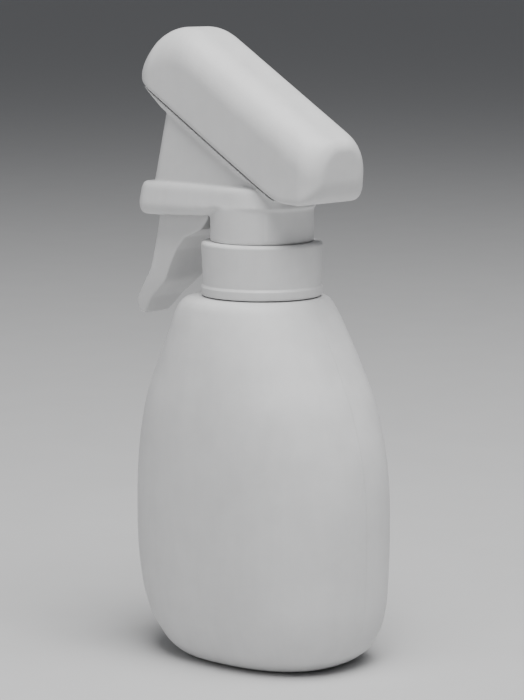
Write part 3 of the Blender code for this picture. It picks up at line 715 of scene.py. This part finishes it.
def cover_section(forward, inset):
    """Half width, underside, top and the rounding of the top edges, drawn in by inset."""
    top_f, top_z = slope_point(NOSE_P - NOSE_TOP_R, COVER_THICK - NOSE_TOP_R)
    low_f, low_z = slope_point(NOSE_P - NOSE_LOW_R, NOSE_LOW_R)
    nose_r, chin_r = NOSE_TOP_R - inset, NOSE_LOW_R - inset
    if forward < top_f - nose_r * sin(SLOPE):
        top = top_z + (forward - top_f) * tan(SLOPE) + nose_r / cos(SLOPE)
    elif forward < top_f + nose_r * cos(SLOPE):
        top = top_z + sqrt(nose_r ** 2 - (forward - top_f) ** 2)
    else:
        top = low_z + sqrt(max(0, chin_r ** 2 - (forward - low_f) ** 2))
    floor_z = cover_floor(forward) + inset / cos(SLOPE)
    if forward > low_f + chin_r * sin(SLOPE):
        floor_z = low_z - sqrt(max(0, chin_r ** 2 - (forward - low_f) ** 2))
    back_f = COVER_BACK + BACK_LOW_R
    if forward < back_f:
        low_r = BACK_LOW_R - inset
        floor_z = COVER_FLOOR + BACK_LOW_R - sqrt(max(0, low_r ** 2 - (forward - back_f) ** 2))
    behind = COVER_BACK + BACK_TOP_R - forward
    if behind > 0:
        back_r = BACK_TOP_R - inset
        top -= back_r - sqrt(max(0, back_r ** 2 - behind ** 2))
    half = COVER_HALF - inset
    ends = (
        (low_f + NOSE_LOW_R - NOSE_CORNER, NOSE_CORNER - inset),
        (COVER_BACK + COVER_CORNER, inset - COVER_CORNER),
    )
    for end, reach in ends:
        past = (forward - end) / reach
        if past > 0:
            half -= abs(reach) * (1 - sqrt(max(0, 1 - past ** 2)))
    tall = top - floor_z
    return half, floor_z, top, min(EDGE_X - inset, half * 0.8), min(EDGE_Z - inset, tall * 0.8)


def cover_ring(forward, inset, drop=0.0, steps=14):
    """One upright section of the cover.  The rear ones lean forward towards their feet."""
    half, floor_z, top, edge_x, edge_z = cover_section(forward, inset)
    low = min(2.0, (top - floor_z) / 8)
    floor_z -= drop
    side = []
    for step in range(5):
        angle = pi / 2 * step / 4
        side.append((half - low + low * sin(angle), floor_z + low - low * cos(angle)))
    for step in range(steps + 1):
        angle = pi / 2 * step / steps
        side.append((half - edge_x + edge_x * cos(angle), top - edge_z + edge_z * sin(angle)))
    outline = side + [(-x, z) for x, z in reversed(side)]
    back_share = (LEAN_FROM - forward) / (LEAN_FROM - COVER_BACK)
    lean = REAR_LEAN * max(0.0, min(1.0, back_share)) ** 2
    crest = COVER_FLOOR + LEAN_TALL
    return [
        (x, forward + lean * max(0.0, min(1.0, (crest - z) / LEAN_TALL)), z) for x, z in outline
    ]


def cover_stations(inset, ends=18, middle=26):
    """Where the sections stand: close together at both rounded ends."""
    front = slope_point(NOSE_P - NOSE_LOW_R, NOSE_LOW_R)[0] + NOSE_LOW_R - inset
    back = COVER_BACK + inset
    eased = [1 - cos(pi / 2 * k / ends) for k in range(1, ends)]
    rows = [back + 0.02] + [back + BACK_END * e for e in eased]
    low, high = rows[-1], front - FULL_END
    rows += [low + (high - low) * k / middle for k in range(1, middle)]
    return rows + [front - FULL_END * e for e in reversed(eased)] + [front - 0.05]


nose_middle = [round(v) for v in slope_point(NOSE_P, COVER_THICK / 2)]
print("the cover is", round(COVER_HALF * 2), "mm wide, and its nose is at", nose_middle)

# %% Mould the cover
cover = solid_from_rings("sloping_cover", [cover_ring(f, 0.0) for f in cover_stations(0.0)])
rings = []
for station in cover_stations(COVER_WALL):
    open_here = COVER_OPEN[0] < station < COVER_OPEN[1]
    rings.append(cover_ring(station, COVER_WALL, OPEN_DROP if open_here else 0.0))
hollow = solid_from_rings("cover_hollow", rings)
barrel_axis = dict(base=slope_point(0, BARREL_Q), lean=pi / 2 - SLOPE)
nozzle_hole = rod("nozzle_hole", NOZZLE_R + 0.4, 44.0, 64.0, spin=0.01, **barrel_axis)
combine("DIFFERENCE", cover, hollow, nozzle_hole)
soften(cover, 0.5, 4)
finish_piece(cover, cover_plastic, "head", "shroud")

# %% [markdown]
# ## The housing
# Below the cover one moulding carries everything.  A round turret stands on the collar, a level
# rim band runs forward from it round the top of the trigger, two cheeks climb between the band
# and the cover with the trigger's pin between them, and a sloping deck meets the cover's edge.
# The mould leaves generous fillets where these meet.

# %% The rings of the housing
TURRET_R, TURRET_WALL, TURRET_BOTTOM, TURRET_TOP = 17.4, 1.7, 141.45, 153.2
BAND_FRONT, BAND_HALF, BAND_CORNER, BAND_REAR_R = 46.6, 15.0, 8.0, 18.2
BAND_LEVELS = (          # height, how far the outline is drawn in
    (148.4, 3.2), (148.7, 2.1), (149.2, 1.3), (150.0, 0.6), (151.0, 0.2), (152.4, 0.0),
    (154.0, 0.2), (155.6, 0.5), (157.4, 0.8), (158.6, 1.1), (159.4, 1.6), (159.9, 2.3),
    (160.0, 3.0),
)
BAND_FULL_Z, REAR_ROUND = 153.6, 0.93      # the band's underside is shaped below this height
CHEEK_HALF, CHEEK_WALL, CHEEK_BACK = 12.5, 1.6, -13.0
CHEEK_LOW_F, CHEEK_HIGH_F, CHEEK_LOW_Z, CHEEK_TALL = 40.9, 32.6, 157.0, 35.0
DECK_BACK, DECK_FRONT, DECK_GAP, DECK_HALF = -17.2, 34.9, 0.15, 15.0
PIVOT_F, PIVOT_Z, PIN_R = 27.5, 183.0, 1.5


def plan(front, half, back, corner, rear_corner, z):
    """A level rectangle with round corners."""
    corners = ((front, -half, corner), (front, half, corner))
    corners += ((back, half, rear_corner), (back, -half, rear_corner))
    return [(x, forward, z) for forward, x in rounded(corners)]


def filled(points, count=24, gap=4.0):
    """An outline with extra points along its long straight sides."""
    out = []
    for index, point in enumerate(points):
        there = points[(index + 1) % len(points)]
        parts = count if (there - point).length > gap else 1
        out += [point.lerp(there, k / parts) for k in range(parts)]
    return out


def underside(forward):
    """How far the band's lower edge rises: a little towards the rear, and more round the turret."""
    slow = 1.4 * min(1.0, max(0.0, (40.0 - forward) / 26.0))
    t = min(1.0, max(0.0, (15.0 - forward) / 10.0))
    return slow + 2.9 * t * t * (3 - 2 * t)


def band_ring(z, inset):
    """One level of the rim band: round behind, straight along the sides and square in front."""
    rear, half = BAND_REAR_R - inset, BAND_HALF - inset
    front, corner = BAND_FRONT - inset, BAND_CORNER - inset
    corners = ((front, -half, corner), (front, half, corner))
    corners += ((-rear, rear, rear * REAR_ROUND), (-rear, -rear, rear * REAR_ROUND))
    share = max(0.0, (BAND_FULL_Z - z) / (BAND_FULL_Z - BAND_LEVELS[0][0]))
    flat = filled(rounded(corners, 16))
    return [(x, forward, z + share * underside(forward)) for forward, x in flat]


def cheek_ring(z, inset):
    """The cheeks' front wall leans back as it rises."""
    front = CHEEK_LOW_F + (CHEEK_HIGH_F - CHEEK_LOW_F) * (z - CHEEK_LOW_Z) / CHEEK_TALL
    corner = 1.6 if inset else 5.0
    return plan(front - inset, CHEEK_HALF - inset, CHEEK_BACK + inset, corner, 2.0, z)


def deck_ring(forward, thick):
    """One section of the deck, just under the cover's edge and never wider than the cover."""
    edge = cover_floor(forward) - DECK_GAP
    half = min(DECK_HALF, cover_section(forward, 0.0)[0] - 0.3)
    side = [(half - 2.8, edge - thick), (half, edge - 0.2), (half, edge + 6.0)]
    return [(x, forward, z) for x, z in side] + [(-x, forward, z) for x, z in reversed(side)]


print("the rim band is", BAND_LEVELS[-1][0] - BAND_LEVELS[0][0], "mm tall")

# %% Mould the housing
housing = solid_from_rings("pump_housing", [band_ring(z, inset) for z, inset in BAND_LEVELS])
turret = rod("turret", TURRET_R, TURRET_BOTTOM, TURRET_TOP)
cheeks = solid_from_rings("cheeks", [cheek_ring(z, 0.0) for z in (157.0, 174.0, 196.0)])
stations = [DECK_BACK + (DECK_FRONT - DECK_BACK) * k / 24 for k in range(25)]
thin_rear = [1.0 + 2.4 * min(1.0, max(0.0, (f + 12.0) / 14.0)) for f in stations]
deck_rings = [deck_ring(*pair) for pair in zip(stations, thin_rear)]
deck = solid_from_rings("deck", deck_rings + [deck_ring(41.0, 0.8)])
combine("UNION", housing, turret, cheeks, deck)
ABOVE = 240.0            # higher than anything on the bottle
stations = [DECK_BACK - 4.0 + 66.0 * k / 30 for k in range(31)]
over = [(f, cover_floor(f) - DECK_GAP) for f in stations]
over_deck = plate("over_deck", over + [(stations[-1], ABOVE), (stations[0], ABOVE)], 30.0)
rings = [cheek_ring(z, CHEEK_WALL) for z in (140.0, 157.0, 174.0, 200.0)]
cheek_well = solid_from_rings("cheek_well", rings)
rings = [plan(BAND_FRONT - 2.0, BAND_HALF - 2.0, 19.0, 6.0, 1.0, z) for z in (140.0, 157.8)]
band_well = solid_from_rings("band_well", rings)
turret_bore = rod("turret_bore", TURRET_R - TURRET_WALL, 130.0, 152.2, spin=0.01)
combine("DIFFERENCE", housing, over_deck, cheek_well, band_well, turret_bore)
ear = ((PIVOT_F + 4, PIVOT_Z - 6, 1), (PIVOT_F + 4, PIVOT_Z + 3.6, 3.5))
ear = rounded(ear + ((PIVOT_F - 4, PIVOT_Z + 3.6, 3.5), (PIVOT_F - 4, PIVOT_Z - 10, 1)))
for side in (-1, 1):
    combine("UNION", housing, plate("pivot_ear", ear, 0.7, side * (CHEEK_HALF - CHEEK_WALL + 0.65)))
combine("DIFFERENCE", housing, plate("pin_hole", circle(PIVOT_F, PIVOT_Z, PIN_R + 0.2), 11.8))
soften(housing, 0.45, 8)
finish_piece(housing, head_plastic, "head", "housing")

# %% [markdown]
# ## The trigger
# The trigger hangs on a steel pin high between the cheeks.  Its blade is a broad finger rest that
# curves down and forward to a round tip, and behind it a web reaches back to the pump's piston.
# It is moulded hollow from above, with rounded edges all round for the fingers.

# %% Outline of the trigger
TRIGGER_OUTLINE = (      # forward, height, corner radius, anticlockwise from the foot of the blade
    (48.5, 113.2, 1.4), (51.1, 113.2, 1.2), (50.9, 118.4, 2.5), (41.6, 130.6, 14.0),
    (38.4, 144.0, 30.0), (32.6, 180.0, 8.0), (31.4, 187.4, 3.4), (23.6, 184.6, 3.2),
    (24.6, 165.0, 8.0), (17.4, 155.0, 3.0), (17.2, 151.8, 0.6), (14.8, 151.0, 0.8),
    (15.2, 148.4, 2.0), (18.7, 144.5, 1.5), (26.0, 141.5, 2.0), (30.0, 136.8, 4.0),
    (36.0, 125.8, 10.0), (43.6, 119.4, 8.0),
)
TRIGGER_HOLLOW = (
    (37.4, 130.6, 1.0), (38.9, 133.0, 1.5), (36.2, 146.2, 10.0), (34.7, 157.0, 1.0),
    (31.0, 159.0, 0.5), (31.0, 166.0, 1.0), (27.6, 172.0, 2.0), (27.0, 200.0, 0.5),
    (10.0, 200.0, 0.5), (10.0, 150.8, 0.5), (19.2, 150.8, 0.5), (19.2, 149.3, 2.0),
    (20.4, 145.9, 1.0), (27.0, 143.2, 2.0), (31.9, 138.2, 3.0),
)
TRIGGER_HALF, TRIGGER_WALL, TIP_Z = 10.2, 1.7, 133.0
FINGER_EDGE, HOLE_GAP = 1.1, 0.2
TIP_CURVE = (            # half width and height: the blade's tip tapers, seen from the front
    (4.2, 113.2), (5.6, 113.6), (6.6, 114.8), (7.2, 116.5),
    (7.9, 119.2), (8.6, 122.2), (9.3, 125.8), (9.9, 129.6),
)
print("the blade is", TRIGGER_HALF * 2, "mm wide")


# %% Mould the trigger
def pare(obj, low, high):
    """Pares both sides of obj down to the sloping plane through two points (half width, height)."""
    work = bmesh.new()
    work.from_mesh(obj.data)
    for side in (-1, 1):
        away = Vector((side * (high[1] - low[1]), 0, low[0] - high[0])).normalized()
        parts = work.verts[:] + work.edges[:] + work.faces[:]
        point = at(side * low[0], 0, low[1])
        cut = {"plane_co": point, "plane_no": away, "clear_outer": True}
        bmesh.ops.bisect_plane(work, geom=parts, dist=1e-7, **cut)
        rim = [edge for edge in work.edges if edge.is_boundary]
        bmesh.ops.holes_fill(work, edges=rim, sides=0)
    bmesh.ops.recalc_face_normals(work, faces=work.faces)
    work.to_mesh(obj.data)
    work.free()


trigger = plate("trigger_lever", rounded(TRIGGER_OUTLINE, 14), TRIGGER_HALF)
for low, high in zip(TIP_CURVE, TIP_CURVE[1:] + ((TRIGGER_HALF, TIP_Z),)):
    pare(trigger, low, high)
bevel = trigger.modifiers.new("finger_edges", "BEVEL")
bevel.width = FINGER_EDGE * MM
bevel.segments = 4
bevel.limit_method = "ANGLE"
bevel.angle_limit = radians(50)
settle(trigger)
inside = plate("trigger_hollow", rounded(TRIGGER_HOLLOW, 6), TRIGGER_HALF - TRIGGER_WALL)
bore = plate("trigger_bore", circle(PIVOT_F, PIVOT_Z, PIN_R + HOLE_GAP), 20.0)
combine("DIFFERENCE", trigger, inside, bore)
soften(trigger, 0.4, 6)
finish_piece(trigger, trigger_plastic, "trigger", "trigger")

# %% [markdown]
# ## The nozzle
# The nozzle is a small turned cap on the end of the barrel, with a dished face round the spray
# hole.  Fingertips turn it, so its rim carries a ring of fine grip ribs.  They repeat round an
# axis, which is a job for a node tree: one rib, put on every point of a circle and turned to
# face outwards.


# %% The grip ribs
def face_axis(obj):
    """Moves a shape made about the upright axis on to the barrel's."""
    foot = Matrix.Translation(at(0, *slope_point(0, BARREL_Q)))
    obj.data.transform(foot @ Matrix.Rotation(pi / 2 - SLOPE, 4, "X"))
    obj.data.update()
    return obj


RIB_SIZES = {            # in millimetres
    "Radius": 6.7, "Rib width": 0.5, "Rib depth": 0.5, "Rib length": 8.0, "Height": 51.6,
}
RIB_COUNT = 36
sizes = {"Count": "Int"} | dict.fromkeys(RIB_SIZES, "Float") | {"Finish": "Material"}
ribs, make, term, out = node_group("grip_ribs", sizes)
values = {k: term[label] for k, label in enumerate(("Rib depth", "Rib width", "Rib length"))}
rib_size = make.node("ShaderNodeCombineXYZ", {}, values)
rib = make.node("GeometryNodeMeshCube", {}, {"Size": rib_size})
values = {"Vertices": term["Count"], "Radius": term["Radius"]}
spots = make.node("GeometryNodeMeshCircle", {}, values)
rise = make.node("ShaderNodeCombineXYZ", {}, {2: term["Height"]})
lifted = make.node("GeometryNodeTransform", {}, {"Geometry": spots, "Translation": rise})
outward = make.node("GeometryNodeInputPosition")
flat = make.node("ShaderNodeVectorMath", {"operation": "MULTIPLY"}, {0: outward, 1: (1, 1, 0)})
settings = {"axis": "X", "pivot_axis": "Z"}
turn = make.node("FunctionNodeAlignRotationToVector", settings, {"Vector": flat})
values = {"Points": lifted, "Instance": rib, "Rotation": turn}
placed = make.node("GeometryNodeInstanceOnPoints", {}, values)
close_group(make, placed, term["Finish"], out)
values = {label: size * MM for label, size in RIB_SIZES.items()}
values |= {"Count": RIB_COUNT, "Finish": nozzle_plastic}
grip = face_axis(grow("nozzle_ribs", ribs, values))
print("ribs on the nozzle:", RIB_COUNT)

# %% Turn the nozzle
NOZZLE_OUTLINE = (       # radius, height along the slope, rounding
    (6.1, 57.0, 0.3), (6.8, 56.2, 0.4), (6.8, 45.2, 0.4), (5.9, 45.2, 0.1),
    (5.9, 47.6, 0.1), (5.3, 47.6, 0.1), (5.3, 51.5, 0.3), (0.4, 51.5, 0.05),
    (0.4, 53.2, 0.1), (2.0, 54.4, 0.4), (4.9, 54.4, 0.6), (5.2, 57.0, 0.3),
)
nozzle = turned("spray_nozzle", rounded(NOZZLE_OUTLINE, 5), **barrel_axis)
combine("UNION", nozzle, grip)
finish_piece(nozzle, nozzle_plastic, "nozzle", "nozzle_cap")

# %% [markdown]
# ## What stays as it was made
# The pump, its valves and springs, the dip tube and the pin keep their own solids, since their
# shapes are already right and they are seen only through gaps.  They get the finishes of what
# they are made of: natural plastic, steel, or a soft sealing rubber.

# %% Finishes for the inner pieces
INNER = {
    inner_plastic: (
        "pump_body", "cylinder_bushing", "inlet_housing", "tube_filter", "piston", "swirl_insert",
        "dip_tube",
    ),
    steel: ("trigger_pin", "inlet_ball", "return_spring", "outlet_spring"),
    seal_rubber: ("neck_gasket", "vent_valve", "piston_seal", "outlet_valve", "nozzle_seal"),
}
for finish, nodes in INNER.items():
    for node in nodes:
        for place_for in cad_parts[node].material_slots:
            place_for.material = finish
        print(node, "is", finish.name)

# %% [markdown]
# ## Sizes side by side
# The boxes of the visible model and of the imported one are printed side by side. The visible
# model has to fit the box of the imported one.

# %% Sizes and the last line
shown_box = [list(corner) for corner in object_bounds()]
for label, corners in (("packed", cad_box), ("shown", shown_box)):
    print(label, [[round(v * 1000, 2) for v in corner] for corner in corners])
